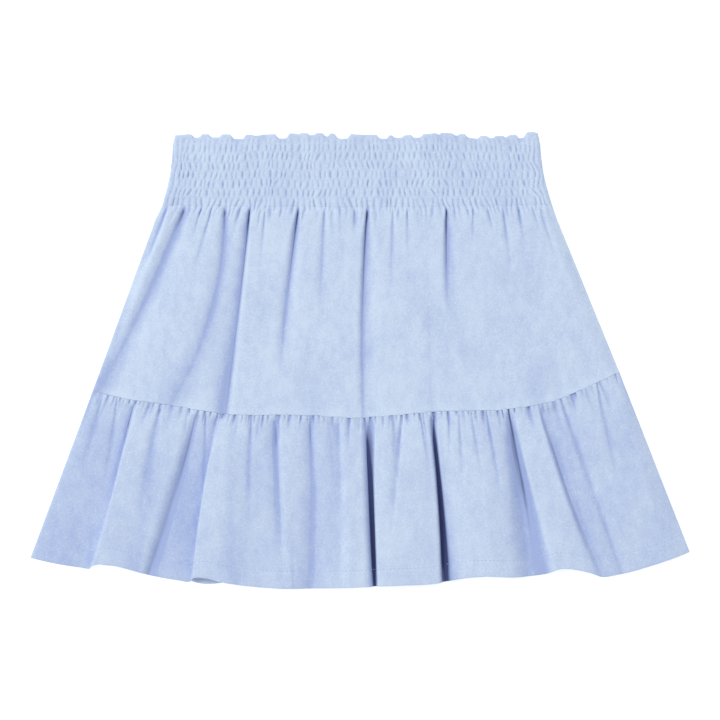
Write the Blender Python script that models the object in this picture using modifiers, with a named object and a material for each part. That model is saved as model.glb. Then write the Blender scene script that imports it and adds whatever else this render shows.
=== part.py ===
"""A pull-on mini skirt of towelling, laid flat with its front on its back.

X runs across the skirt, Y from the hem towards the waist, and Z up from the surface that it lies on.
The origin is the middle of the footprint. Tables are in millimetres and the meshes in metres.

The front has three walls: a smocked waistband with a frilled heading, a gathered tier and a ruffle.
Each is a loft between the skirt's cross lines, raised by its folds and gathers. The back's three walls
have the same cut and lie flat under them. Neighbours keep a small gap at every seam.
"""

import math
from collections import namedtuple

import bmesh
import bpy
import numpy as np

MM = 0.001
GARMENT = "mini_skirt"

# The cloth, and the clearance between sewn pieces and between front and back
CLOTH = 1.5
SEAM_GAP = 0.3
BACK_TOP = CLOTH
FRONT_INSIDE = BACK_TOP + 0.35
FRONT_LOW = FRONT_INSIDE + CLOTH

# Cross lines of the skirt, from its left to its right: x, y
HEADING_LINE = (
    (-157, 191), (-150, 191.6), (-112, 192), (-84, 191.8), (-45, 193), (0, 191.8), (38, 191.2), (74, 193),
    (88, 192.2), (104, 190.6), (124, 190.8), (137, 192.5), (144, 194), (151, 192.5),
)
FIRST_ROW_LINE = ((-159, 183), (0, 184), (153, 183))
LAST_ROW_LINE = ((-168, 131.5), (0, 130), (163, 132))
FLARE_LINE = ((-174, 119), (0, 117), (168, 119))
TIER_SEAM_LINE = (
    (-227, -26), (-204, -32), (-169, -37), (-119, -45), (-42, -47), (0, -49),
    (60, -44), (130, -41), (156, -37), (180, -29), (204, -18), (222, -11),
)
FRONT_HEM_LINE = (
    (-280, -168), (-238, -176), (-228, -177), (-221, -174), (-187, -181), (-154, -187),
    (-144, -188), (-138, -185), (-124, -185.5), (-116, -188), (-106, -190), (-75, -193.4),
    (-25, -193.4), (36, -191), (60, -190), (78, -187), (96, -184), (138, -184), (160, -181),
    (176, -177), (190, -180), (205, -184), (219, -182), (252, -173), (280, -163),
)
BACK_HEM_LINE = (
    (-279, -166), (-228, -173), (-187, -178), (-150, -185), (-138, -189.5), (-122, -190),
    (-106, -187), (-25, -191), (60, -187), (138, -181), (176, -174), (205, -180), (279, -161),
)

# Heights of the tier and the ruffle at the middle, and the share of the tier above its flare
TIER_HEIGHT = 179
RUFFLE_HEIGHT = 144
FLARE_SHARE = 13 / TIER_HEIGHT

# Smocked waistband: elastic thread gathers it along rows, and the cloth puffs out between them
SMOCK_COLUMNS = 66
SMOCK_ROWS = 7
PINCHED_WALL = 1.2
PUFF_RISE = 1.8

# Frill above the first row: x of each dip in its edge and how far the edge sinks there, and how far the
# waves between the dips rise
FRONT_FRILL_DIPS = (
    (-157, 2.5), (-138.6, 3.2), (-124, 3.6), (-102, 4.6), (-88, 1.2), (-65.5, 4.4), (-52.7, 1.2), (-40.8, 1.8),
    (-27.2, 3.2), (-14.5, 4.6), (21.3, 3.4), (33, 2.2), (49.3, 2.8), (65.5, 1.4), (81.6, 1.8), (97.8, 3.0),
    (111.4, 1.8), (124, 1.6), (137.7, 4.2), (151, 2.0),
)
BACK_FRILL_DIPS = (
    (-157, 2.5), (-133, 3.0), (-118, 2.6), (-97, 3.8), (-70, 3.0), (-58, 2.0), (-38, 3.6), (-20, 2.0), (-6, 3.0),
    (12, 3.8), (40, 2.4), (55, 3.2), (71, 2.0), (90, 3.2), (108, 2.4), (131, 3.4), (151, 2.0),
)
FRILL_RISE = 1.4

# Gathers: how many across the front, how far they rise and how far below the seam they have gone
WAIST_GATHERS = 36
WAIST_GATHER_RISE = 1.3
WAIST_GATHER_REACH = 52
RUFFLE_GATHERS = 80
RUFFLE_GATHER_RISE = 1.1
RUFFLE_GATHER_REACH = 30

# How far the tier stands clear of the back between its folds, and how far in from its sides it does so
TIER_RISE_TOP = 3.6
TIER_RISE_MIDDLE = 3.7
TIER_RISE_BOTTOM = 2.3
TIER_SIDE = 10

# A fold is a trough between two rolls of cloth. Its centre passes three points: at the top of its tier,
# halfway and at the bottom. It is as wide as left and right say at the bottom, where a narrow side is the
# steep flank of a roll that leans over it. Its depth goes from deep_top to deep_bottom, and it has faded
# out at stop, a share of the tier's height.
Fold = namedtuple("Fold", "top middle bottom left right deep_top deep_bottom stop")
TIER_FOLDS = (
    Fold(-163, -190, -217, 9, 9, 2.2, 0.0, 0.30),
    Fold(-145, -185, -214, 15, 18, 3.6, 1.3, 1.00),
    Fold(-125, -150, -176, 8, 10, 1.2, 0.0, 0.30),
    Fold(-114, -126, -145, 18, 20, 3.4, 1.3, 1.00),
    Fold(-93, -103, -114, 20, 6, 3.7, 2.2, 1.00),
    Fold(-80, -88, -93, 8, 9, 1.2, 0.0, 0.35),
    Fold(-54, -64, -71, 13, 14, 3.6, 0.6, 0.85),
    Fold(-30, -34, -37, 10, 12, 1.9, 0.5, 0.90),
    Fold(-17, -16, -14, 6, 6, 1.2, 0.0, 0.18),
    Fold(6, 2, 3, 7, 20, 3.7, 2.2, 1.00),
    Fold(28, 26, 25, 8, 9, 2.2, 0.0, 0.38),
    Fold(40, 41, 42, 8, 9, 1.1, 0.0, 0.35),
    Fold(59, 60, 61, 7, 8, 1.2, 0.8, 1.00),
    Fold(72, 74, 78, 6, 14, 3.5, 0.6, 0.70),
    Fold(96, 97, 100, 7, 8, 1.8, 0.0, 0.25),
    Fold(122, 132, 139, 9, 9, 2.4, 0.0, 0.40),
    Fold(134, 146, 157, 8, 8, 1.2, 0.0, 0.30),
    Fold(152, 176, 200, 9, 10, 2.4, 0.0, 0.42),
)
RUFFLE_FOLDS = (
    Fold(-218, -238, -259, 9, 11, 1.7, 0.0, 0.50),
    Fold(-206, -218, -238, 7, 8, 1.5, 0.0, 0.60),
    Fold(-169, -183, -197, 9, 12, 2.0, 0.0, 0.95),
    Fold(-131, -133, -138, 5, 5, 1.2, 0.0, 0.55),
    Fold(-92, -94, -94, 8, 8, 1.7, 0.0, 0.90),
    Fold(-27, -22, -19, 6, 6, 1.4, 0.0, 0.50),
    Fold(33, 26, 20, 12, 6, 2.4, 0.0, 0.80),
    Fold(51, 60, 65, 5, 5, 1.4, 0.0, 0.45),
    Fold(75, 78, 82, 5, 5, 1.3, 0.0, 0.40),
    Fold(84, 87, 90, 6, 6, 1.5, 0.0, 0.50),
    Fold(94, 105, 116, 6, 6, 1.3, 0.0, 0.50),
    Fold(107, 119, 129, 7, 5, 1.8, 0.0, 0.60),
    Fold(178, 190, 202, 8, 11, 1.9, 0.0, 0.70),
    Fold(201, 218, 238, 7, 12, 1.9, 0.0, 0.60),
)

# The ruffle's rolls run the whole way from the seam to the hem. Each row is a crest or a trough line: where
# it passes at the seam, halfway and at the hem, and how far the cloth stands clear of the back there.
CREST = "crest"
TROUGH = "trough"
Line = namedtuple("Line", "kind top middle bottom rise_top rise_middle rise_bottom")
RUFFLE_LINES = (
    Line(CREST, -211, -230, -253, 2.0, 2.6, 2.8),
    Line(TROUGH, -192, -212, -230, 0.4, 0.3, 1.2),
    Line(CREST, -188, -207, -218, 2.6, 7.0, 8.5),
    Line(CREST, -145, -170, -190, 2.4, 6.2, 6.3),
    Line(TROUGH, -138, -157, -180, 0.0, 0.0, 0.4),
    Line(CREST, -129, -144, -160, 1.7, 2.2, 2.8),
    Line(TROUGH, -121, -134, -144, 0.2, 1.0, 1.7),
    Line(CREST, -114, -128, -135, 2.6, 8.4, 9.4),
    Line(CREST, -83, -83, -87, 2.3, 5.6, 6.2),
    Line(TROUGH, -73, -70, -67, 0.4, 2.2, 5.2),
    Line(CREST, -68, -65, -59, 2.6, 6.4, 6.8),
    Line(CREST, -51, -51, -51, 2.4, 5.8, 5.6),
    Line(TROUGH, -43, -38, -39, 0.4, 1.8, 2.2),
    Line(CREST, -37, -29, -25, 2.3, 4.9, 6.6),
    Line(TROUGH, -18, -16, -15, 0.7, 4.2, 6.8),
    Line(CREST, -13, -10, -7, 2.6, 7.4, 8.3),
    Line(CREST, -1, 3, 9, 2.4, 6.8, 7.4),
    Line(TROUGH, 5, 8, 14, 0.0, 0.0, 0.0),
    Line(CREST, 11, 14, 19, 2.4, 7.6, 8.2),
    Line(CREST, 20, 24, 28, 2.6, 8.4, 9.2),
    Line(CREST, 42, 39, 37, 2.6, 8.0, 8.6),
    Line(CREST, 57, 62, 66, 2.3, 6.4, 6.8),
    Line(TROUGH, 62, 66, 71, 0.0, 0.0, 0.0),
    Line(CREST, 67, 71, 78, 2.4, 6.6, 6.2),
    Line(CREST, 76, 82, 91, 2.5, 7.4, 7.9),
    Line(CREST, 102, 104, 109, 2.4, 7.2, 8.4),
    Line(CREST, 116, 119, 125, 2.2, 6.0, 7.2),
    Line(TROUGH, 124, 134, 139, 0.0, 0.0, 0.8),
    Line(TROUGH, 128, 140, 154, 0.2, 0.6, 1.8),
    Line(CREST, 133, 146, 162, 2.6, 7.0, 8.0),
    Line(CREST, 153, 168, 189, 2.5, 7.0, 7.4),
    Line(TROUGH, 158, 175, 198, 0.2, 0.6, 1.7),
    Line(CREST, 196, 214, 231, 2.2, 3.6, 3.8),
    Line(CREST, 214, 238, 258, 2.0, 2.8, 2.6),
)

# Mesh rows, as shares of each tier's height, and the mesh's columns
TIER_GATHER_ROWS = (0.0, 0.04, 0.09, 0.16)
TIER_ROWS = (0.24, 0.36, 0.50, 0.64, 0.78, 0.90, 0.97, 1.0)
RUFFLE_GATHER_ROWS = (0.0, 0.06, 0.13)
RUFFLE_ROWS = (0.22, 0.34, 0.48, 0.62, 0.76, 0.90, 1.0)
COLUMN_PITCH = 7.0
BACK_COLUMNS = 40
BACK_FRILL_COLUMNS = 80
BACK_ROWS = (0.0, 0.5, 1.0)
INSIDE_COLUMNS = 12

# Colours, before lighting
TOWELLING_BLUE = (0.50, 0.60, 0.82, 1.0)
TOWELLING_ROUGHNESS = 0.95
TOWELLING_SHEEN = 0.3


def ramp(value, low, high):
    """0 below low, 1 above high, and a soft rise between."""
    t = np.clip((value - low) / (high - low), 0.0, 1.0)
    return t * t * (3 - 2 * t)


def through(table, at):
    """The height at a place on a smooth curve through a table of x, y."""
    xs, ys = np.array(table, float).T
    slopes = np.gradient(ys, xs, edge_order=2)
    k = np.clip(np.searchsorted(xs, at) - 1, 0, len(xs) - 2)
    step = xs[k + 1] - xs[k]
    t = (at - xs[k]) / step
    near = (1 + 2 * t) * (1 - t) ** 2 * ys[k] + t * (1 - t) ** 2 * step * slopes[k]
    far = t * t * (3 - 2 * t) * ys[k + 1] - t * t * (1 - t) * step * slopes[k + 1]
    return near + far


def through_three(top, middle, bottom, down):
    """The value that far down, on the curve through three values."""
    ends = top * (1 - down) * (1 - 2 * down) + bottom * down * (2 * down - 1)
    return ends + 4 * middle * down * (1 - down)


def centre(fold, down):
    """x of the centre of a fold or line, that far down its tier."""
    return through_three(fold.top, fold.middle, fold.bottom, down)


def on_line(line, share):
    """The point at a share of a cross line, from its left end to its right end."""
    x = line[0][0] + share * (line[-1][0] - line[0][0])
    return np.array([x, through(line, x)])


def between(upper, lower, down, share):
    """The point at a share across the loft, that far down from one cross line to the next."""
    return (1 - down) * on_line(upper, share) + down * on_line(lower, share)


def arches(place, dips):
    """1 at the crown of each arch between neighbouring dips, and 0 at the dips."""
    k = int(np.clip(np.searchsorted(dips, place) - 1, 0, len(dips) - 2))
    t = np.clip((place - dips[k]) / (dips[k + 1] - dips[k]), 0.0, 1.0)
    return 4 * t * (1 - t)


def frill_sink(x, dips):
    """How far the frill's edge sinks at x: by each dip's own depth, with round crowns between dips."""
    places = [dip[0] for dip in dips]
    k = int(np.clip(np.searchsorted(places, x) - 1, 0, len(places) - 2))
    t = np.clip((x - places[k]) / (places[k + 1] - places[k]), 0.0, 1.0)
    return dips[k if t < 0.5 else k + 1][1] * abs(2 * t - 1) ** 2.4


def gather_dips(count):
    """Where the dips between gathers lie along a seam, as shares, spaced a little unevenly."""
    even = np.arange(count + 1) / count
    drift = np.sin(even * 31.0 + 0.7) + 0.6 * np.sin(even * 83.0)
    return even + drift * even * (1 - even) * 0.9 / count


def gather_shares(count):
    """Shares across a seam of every gather's dip and crown."""
    dips = gather_dips(count)
    return np.sort(np.concatenate([dips, (dips[1:] + dips[:-1]) / 2]))


def gather_rise(share, below, count, rise, reach):
    """How far the gathers lift or sink the cloth, fading below the seam that draws them up."""
    return rise * (1 - ramp(below, 0, reach)) * (arches(share, gather_dips(count)) - 0.4)


def fold_depth(fold, x, down):
    """How far a fold sinks the cloth at x, that far down its tier."""
    depth = fold.deep_top + (fold.deep_bottom - fold.deep_top) * down
    depth *= 1 - ramp(down, fold.stop - 0.3, fold.stop) if fold.stop < 1 else 1
    away = x - centre(fold, down)
    width = (fold.left if away < 0 else fold.right) * (0.45 + 0.55 * down)
    return depth * max(0.0, 1 - abs(away) / width) ** 2


def tier_rise(x, down, left, right):
    """How far the tier stands clear of the back between its flat sides."""
    clear = through_three(TIER_RISE_TOP, TIER_RISE_MIDDLE, TIER_RISE_BOTTOM, down)
    return clear * ramp(x, left, left + TIER_SIDE) * ramp(-x, -right, -right + TIER_SIDE)


def roll_rise(x, down, left, right):
    """How far the ruffle stands clear of the back: steep from each trough, round over each crest."""
    places = [left] + [centre(line, down) for line in RUFFLE_LINES] + [right]
    rises = [through_three(line.rise_top, line.rise_middle, line.rise_bottom, down) for line in RUFFLE_LINES]
    rises = [0.0] + rises + [0.0]
    kinds = [TROUGH] + [line.kind for line in RUFFLE_LINES] + [TROUGH]
    k = int(np.clip(np.searchsorted(places, x) - 1, 0, len(places) - 2))
    share = float(np.clip((x - places[k]) / (places[k + 1] - places[k]), 0.0, 1.0))
    if kinds[k] == kinds[k + 1]:
        eased = share * share * (3 - 2 * share)
    elif kinds[k] == TROUGH:
        eased = math.sin(share * math.pi / 2)
    else:
        eased = 1 - math.cos(share * math.pi / 2)
    return rises[k] + eased * (rises[k + 1] - rises[k])


def raised(x, y, down, rise, folds):
    """A point of the front's outside, after the small folds have sunk it."""
    left = rise - sum(fold_depth(fold, x, down) for fold in folds)
    return x, y - SEAM_GAP * (1 - down), FRONT_LOW + 0.5 * (left + math.hypot(left, 0.4))


def tier_edge(down, share):
    """A point at a share across the tier, that far down it, in plan."""
    if down < FLARE_SHARE:
        return between(LAST_ROW_LINE, FLARE_LINE, down / FLARE_SHARE, share)
    return between(FLARE_LINE, TIER_SEAM_LINE, (down - FLARE_SHARE) / (1 - FLARE_SHARE), share)


def tier_point(share, down):
    """A point of the front tier's outside."""
    x, y = tier_edge(down, share)
    rise = tier_rise(x, down, tier_edge(down, 0)[0], tier_edge(down, 1)[0])
    rise += gather_rise(share, down * TIER_HEIGHT, WAIST_GATHERS, WAIST_GATHER_RISE, WAIST_GATHER_REACH)
    return raised(x, y, down, rise, TIER_FOLDS)


def ruffle_edge(down, share):
    """A point at a share across the ruffle, that far down it, in plan."""
    return between(TIER_SEAM_LINE, FRONT_HEM_LINE, down, share)


def ruffle_point(share, down):
    """A point of the front ruffle's outside."""
    x, y = ruffle_edge(down, share)
    rise = roll_rise(x, down, ruffle_edge(down, 0)[0], ruffle_edge(down, 1)[0])
    rise += gather_rise(
        share, down * RUFFLE_HEIGHT, RUFFLE_GATHERS, RUFFLE_GATHER_RISE, RUFFLE_GATHER_REACH
    )
    return raised(x, y, down, rise, RUFFLE_FOLDS)


def columns_between(places, halfway):
    """x of the mesh's columns: one down each fold or line, and more between, closest near them."""
    columns = [places[0]]
    for k in range(len(places) - 1):
        cells = max(1, round((halfway[k + 1] - halfway[k]) / COLUMN_PITCH))
        for cell in range(1, cells + 1):
            eased = 0.5 - 0.5 * math.cos(math.pi * cell / cells)
            share = 0.5 * (eased + cell / cells)
            columns.append(places[k] + share * (places[k + 1] - places[k]))
    return columns


def front_rows(point, edge, gather_rows, rows, gathers, followed):
    """Rows of points of a front tier: fine columns over the gathers, then columns that follow its folds."""
    fine = [[point(share, down) for share in gather_shares(gathers)] for down in gather_rows]
    halfway = [edge(0.5, 0)[0]] + [fold.middle for fold in followed] + [edge(0.5, 1)[0]]
    coarse = []
    for down in rows:
        left, right = edge(down, 0)[0], edge(down, 1)[0]
        places = [left] + [centre(fold, down) for fold in followed] + [right]
        columns = columns_between(places, halfway)
        coarse.append([point((x - left) / (right - left), down) for x in columns])
    return fine + coarse


def flat_row(upper, lower, down, columns):
    """A row of points of a back piece, which lies flat."""
    places = [between(upper, lower, down, k / columns) for k in range(columns + 1)]
    return [(x, y - SEAM_GAP * (1 - down), BACK_TOP) for x, y in places]


def flat_rows(upper, lower):
    """Rows of points of a back piece."""
    return [flat_row(upper, lower, down, BACK_COLUMNS) for down in BACK_ROWS]


def back_waist_rows():
    """Rows of points of the back waistband: a frilled edge over coarser rows."""
    edge = flat_row(HEADING_LINE, LAST_ROW_LINE, 0, BACK_FRILL_COLUMNS)
    edge = [(x, y - frill_sink(x, BACK_FRILL_DIPS), z) for x, y, z in edge]
    return [edge] + [flat_row(HEADING_LINE, LAST_ROW_LINE, down, INSIDE_COLUMNS) for down in (0.5, 1.0)]


def towelling(name):
    """The skirt's cloth: a matt pale blue with a soft sheen."""
    material = bpy.data.materials.new(name)
    material.use_nodes = True
    shader = material.node_tree.nodes["Principled BSDF"]
    shader.inputs["Base Color"].default_value = TOWELLING_BLUE
    shader.inputs["Roughness"].default_value = TOWELLING_ROUGHNESS
    shader.inputs["Metallic"].default_value = 0.0
    shader.inputs["Sheen Weight"].default_value = TOWELLING_SHEEN
    return material


def strip(mesh, above, below):
    """Faces between two rows of vertices: quads where the rows match, or else triangles."""
    if len(above) == len(below):
        for k in range(len(above) - 1):
            mesh.faces.new((above[k], below[k], below[k + 1], above[k + 1]))
        return
    onward = above[-1].co - above[0].co
    i = j = 0
    while i < len(above) - 1 or j < len(below) - 1:
        rows_left = i < len(above) - 1 and j < len(below) - 1
        if j == len(below) - 1 or rows_left and above[i + 1].co.dot(onward) < below[j + 1].co.dot(onward):
            mesh.faces.new((above[i], below[j], above[i + 1]))
            i += 1
        else:
            mesh.faces.new((above[i], below[j], below[j + 1]))
            j += 1


def vertex_rows(mesh, rows):
    """Vertices at rows of points in millimetres."""
    return [[mesh.verts.new(np.array(point) * MM) for point in row] for row in rows]


def add_piece(name, mesh):
    """An object in the skirt's collection from a bmesh."""
    data = bpy.data.meshes.new(name)
    mesh.to_mesh(data)
    mesh.free()
    data.shade_smooth()
    data.materials.append(towelling(name + "_towelling"))
    piece = bpy.data.objects.new(name, data)
    bpy.data.collections[GARMENT].objects.link(piece)
    return piece


def cloth_wall(name, rows):
    """A wall of one cloth thickness whose outside passes through rows of points."""
    mesh = bmesh.new()
    made = vertex_rows(mesh, rows)
    for above, below in zip(made, made[1:]):
        strip(mesh, above, below)
    piece = add_piece(name, mesh)
    thick = piece.modifiers.new("cloth", "SOLIDIFY")
    thick.thickness = CLOTH * MM
    thick.offset = -1


def smocked_thickness(column, half_row):
    """The waistband's wall: pinched along the elastic rows, and puffed between them in a stagger."""
    if half_row % 2 == 0:
        return PINCHED_WALL
    puffed = (column + half_row // 2) % 2
    uneven = 0.88 + 0.12 * math.sin(column * 2.1 + half_row * 1.3)
    return PINCHED_WALL + puffed * PUFF_RISE * uneven


def frill_row(down, columns):
    """A row of points of the frill, that far down from its edge to the first elastic row."""
    row = []
    for k in range(columns + 1):
        x, y = between(HEADING_LINE, FIRST_ROW_LINE, down, k / columns)
        wave = arches(x, [dip[0] for dip in FRONT_FRILL_DIPS])
        thick = PINCHED_WALL + FRILL_RISE * (1 - 0.5 * down) * wave
        row.append((x, y - frill_sink(x, FRONT_FRILL_DIPS) * (1 - down), FRONT_INSIDE + thick))
    return row


def smocked_row(half_row, columns):
    """A row of points of the smocking, on or between its elastic rows."""
    row = []
    for k in range(columns + 1):
        x, y = between(FIRST_ROW_LINE, LAST_ROW_LINE, half_row / (2 * SMOCK_ROWS), k / columns)
        row.append((x, y, FRONT_INSIDE + smocked_thickness(k, half_row)))
    return row


def smocked_wall(name):
    """The front waistband: puffs and a frill on the outside, over a plain inside."""
    columns = 2 * SMOCK_COLUMNS
    outside = [frill_row(0.0, columns), frill_row(0.5, columns)]
    outside += [smocked_row(half_row, columns) for half_row in range(2 * SMOCK_ROWS + 1)]
    step = columns // INSIDE_COLUMNS
    inside = [outside[0][::2], outside[2][::step], outside[-1][::step]]
    inside = [[(x, y, FRONT_INSIDE) for x, y, _ in row] for row in inside]

    mesh = bmesh.new()
    outer = vertex_rows(mesh, outside)
    inner = vertex_rows(mesh, inside)
    for above, below in zip(outer, outer[1:]):
        strip(mesh, above, below)
    for above, below in zip(inner, inner[1:]):
        strip(mesh, below, above)
    strip(mesh, inner[0], outer[0])
    strip(mesh, outer[-1], inner[-1])
    strip(mesh, [row[0] for row in outer], [row[0] for row in inner])
    strip(mesh, [row[-1] for row in outer[::-1]], [row[-1] for row in inner[::-1]])
    bmesh.ops.triangulate(mesh, faces=mesh.faces[:])
    add_piece(name, mesh)


def build():
    for old in list(bpy.data.objects):
        bpy.data.objects.remove(old)
    bpy.context.scene.collection.children.link(bpy.data.collections.new(GARMENT))

    smocked_wall("waist_front")
    tier = front_rows(tier_point, tier_edge, TIER_GATHER_ROWS, TIER_ROWS, WAIST_GATHERS, TIER_FOLDS)
    cloth_wall("tier_front", tier)
    ruffle = front_rows(
        ruffle_point, ruffle_edge, RUFFLE_GATHER_ROWS, RUFFLE_ROWS, RUFFLE_GATHERS, RUFFLE_LINES
    )
    cloth_wall("ruffle_front", ruffle)
    cloth_wall("waist_back", back_waist_rows())
    cloth_wall("tier_back", flat_rows(LAST_ROW_LINE, TIER_SEAM_LINE))
    cloth_wall("ruffle_back", flat_rows(TIER_SEAM_LINE, BACK_HEM_LINE))


build()
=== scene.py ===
"""The looks of a towelling mini skirt laid flat: fine cloth, sewing, nap, floor, light and camera.

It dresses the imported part. X runs across the skirt, Y from its hem towards its waist, and Z up from the
floor. Tables are in millimetres and meshes in metres. Each cloth shell replaces one solid, and is worked
out from the same cross lines, folds and rolls, with finer gathers, smocking, rounded edges and creases.
"""

import math
from collections import namedtuple

import bpy
import numpy as np
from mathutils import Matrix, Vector


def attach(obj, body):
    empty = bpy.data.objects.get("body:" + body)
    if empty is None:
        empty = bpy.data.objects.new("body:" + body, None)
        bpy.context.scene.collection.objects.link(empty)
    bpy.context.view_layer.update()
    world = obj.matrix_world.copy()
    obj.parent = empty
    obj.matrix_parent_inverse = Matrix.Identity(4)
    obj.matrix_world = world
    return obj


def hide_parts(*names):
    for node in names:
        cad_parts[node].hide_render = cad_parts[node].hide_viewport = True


MM = 0.001
TOWELLING = "towelling"

# The cloth, where the front and the back lie, and the least that is left of a wall
CLOTH = 1.5
HEM_CLOTH = 2.1
BACK_TOP = CLOTH
FRONT_INSIDE = 1.85
FRONT_LOW = FRONT_INSIDE + CLOTH
WAIST_LOW = FRONT_INSIDE + 0.8 * CLOTH
THINNEST = 0.05

# Cross lines of the skirt, from its left to its right: x, y
HEADING_LINE = (
    (-157, 191), (-150, 191.6), (-112, 192), (-84, 191.8), (-45, 193), (0, 191.8), (38, 191.2), (74, 193),
    (88, 192.2), (104, 190.6), (124, 190.8), (137, 192.5), (144, 194), (151, 192.5),
)
FIRST_ROW_LINE = ((-159, 183), (0, 184), (153, 183))
LAST_ROW_LINE = ((-168, 131.5), (0, 130), (163, 132))
FLARE_LINE = ((-174, 119), (0, 117), (167.5, 119))
TIER_SEAM_LINE = (
    (-227, -26), (-204, -32), (-169, -37), (-119, -45), (-42, -47), (0, -49),
    (60, -44), (130, -41), (156, -37), (180, -29), (204, -18), (220.5, -11),
)
FRONT_HEM_LINE = (
    (-280, -168), (-238, -176), (-228, -177), (-221, -174), (-187, -181), (-154, -187),
    (-144, -188), (-138, -185), (-124, -185.5), (-116, -188), (-106, -190), (-75, -193.4),
    (-25, -193.4), (36, -191), (60, -190), (78, -187), (96, -184), (138, -184), (160, -181),
    (176, -177), (190, -180), (205, -184), (219, -182), (252, -173), (280, -163),
)
BACK_HEM_LINE = (
    (-279, -166), (-228, -173), (-187, -178), (-150, -185), (-138, -189.5), (-122, -190),
    (-106, -187), (-25, -191), (60, -187), (138, -181), (176, -174), (205, -180), (279, -161),
)

# Heights at the middle, and how far the waistband's sides curve in
TIER_HEIGHT = 179
RUFFLE_HEIGHT = 144
FRILL_HEIGHT = 7
SMOCK_HEIGHT = 53
FLARE_HEIGHT = 13
FLARE_SHARE = FLARE_HEIGHT / TIER_HEIGHT
SMOCK_HOLLOW_SIDES = 1.9

# Noise over the cloth: how high or strong it is, how many millimetres its bumps are across, and its seed
Noise = namedtuple("Noise", "height size seed")
NOISE_KNOTS = 61
NOISE_SHIFT = (0.37, 0.61)

# Smocking: wells between puffs, staggered from one elastic row to the next, but not near the sides
SMOCK_COLUMNS = 68
SMOCK_WIDTH = 322
SMOCK_BANDS = 7
SMOCK_TOP = 2.0
WELL_DEPTH = 1.6
WELL_HALF_WIDTH = 1.0
ROW_PINCH = 0.25
STAGGER_START = (5, 16)

# How uneven the smocking is: the range, middle and change of a well's strength, how wells drift and slant,
# how the rows wander and how far from the first and last one, and the cloth's own bumps
WELL_STRENGTHS = (0.15, 1.2)
WELL_STRENGTH = 0.75
WELL_CHANGE = Noise(0.5, 3.1, 24)
WELL_DRIFT = Noise(0.5, 11, 23)
BAND_DRIFT = Noise(0.3, 6, 29)
WELL_SLANT = Noise(0.35, 7, 22)
ROW_WANDER = Noise(2.2, 34, 21)
ROW_WANDER_MARGIN = 10
SMOCK_BILLOWS = Noise(0.3, 24, 25)
SMOCK_BUMPS = Noise(0.16, 3.5, 26)

# Frill above the first elastic row: the x of each dip in its edge, half the dip's width, and how far the
# edge sinks there. The back's lies lower, behind the front's.
FRONT_FRILL_DIPS = (
    (-138.6, 3.4, 3.2), (-122.8, 4.7, 3), (-103.3, 5.5, 4.2), (-87.6, 4, 1.2), (-65.9, 4.7, 4.2),
    (-52.3, 1.4, 1.4), (-41.2, 3, 2), (-28.5, 2.1, 3), (-14.9, 5.5, 4.2), (19.6, 4.2, 3.4),
    (32.3, 4.2, 2.4), (48.5, 4.2, 2.8), (66.7, 1.4, 1.6), (81.6, 2.5, 2), (95.6, 5.5, 3),
    (111.4, 2.5, 2), (123.7, 1.4, 1.8), (136.9, 3.4, 4),
)
BACK_FRILL_DIPS = (
    (-133, 4, 1.3), (-118, 2, 1), (-97, 5, 1.5), (-70, 4, 1.2), (-58, 2, 0.8), (-38, 5, 1.4), (-20, 3, 0.8),
    (-6, 3, 1.2), (12, 5, 1.5), (40, 3, 1), (55, 4, 1.3), (71, 2, 0.8), (90, 4, 1.3), (108, 3, 1),
    (131, 4, 1.4),
)
FRILL_SHOULDER = 2.0
FRILL_LEVEL = SMOCK_TOP - 0.3
FRILL_RISE = 1.5
FRILL_DEEPEST = 4.0
FRILL_PLEAT_DEPTH = 0.9
FRILL_PLEAT_HALF_WIDTH = 1.6
FRILL_WAVER = Noise(0.3, 4.5, 61)
FRILL_BUMPS = Noise(0.35, 5, 27)
BACK_FRILL_DROP = 3.6

# Gathers: how many, how deep the slits between them are, how far their crowns rise, how far below the seam
# they have gone, and their seed
Gathers = namedtuple("Gathers", "count depth crown reach seed")
WAIST_GATHERS = Gathers(36, 2.0, 0.3, 23, 3)
RUFFLE_GATHERS = Gathers(80, 2.5, 0.4, 11, 5)
RUFFLE_PLEATS = Gathers(34, 2.1, 0.2, 34, 6)
BACK_WAIST_GATHERS = WAIST_GATHERS._replace(seed=13)
BACK_RUFFLE_GATHERS = RUFFLE_GATHERS._replace(seed=15)

# How uneven gathers are: the range of their spacing and of their slits' depth, reach and skew, and how far
# slits drift as a share of the seam
GATHER_SPACING = (0.62, 1.38)
SLIT_DEPTHS = (0.35, 1.15)
SLIT_REACHES = (0.4, 1.4)
SLIT_SKEWS = (0.6, 1.7)
SLIT_DRIFT = 0.0022

# How sharp a slit is at the seam and below it, its sharp and its soft flank, and how often the right is sharp
SLIT_SHARPNESS = (4.4, 2.2)
SHARP_FLANK = 1.7
SOFT_FLANK = 0.8
SHARP_RIGHT = 0.7

# Small pleats that run on from the smocking's last wells, and where the tier has left the band's height
PLEAT_DEPTH = 0.85
PLEAT_REACH = 11
PLEAT_HALF_WIDTH = 1.3
PLEAT_WIDENING = 0.06
PLEAT_DEPTHS = Noise(0.9, 9, 30)
PLEAT_REACHES = Noise(0.9, 12, 28)
BAND_FADE = (-1, 6)

# How far the tier stands clear of the back between its folds, and how far in from its sides it does so
TIER_RISE_TOP = 3.6
TIER_RISE_MIDDLE = 3.7
TIER_RISE_BOTTOM = 2.3
TIER_SIDE = 10

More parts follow.
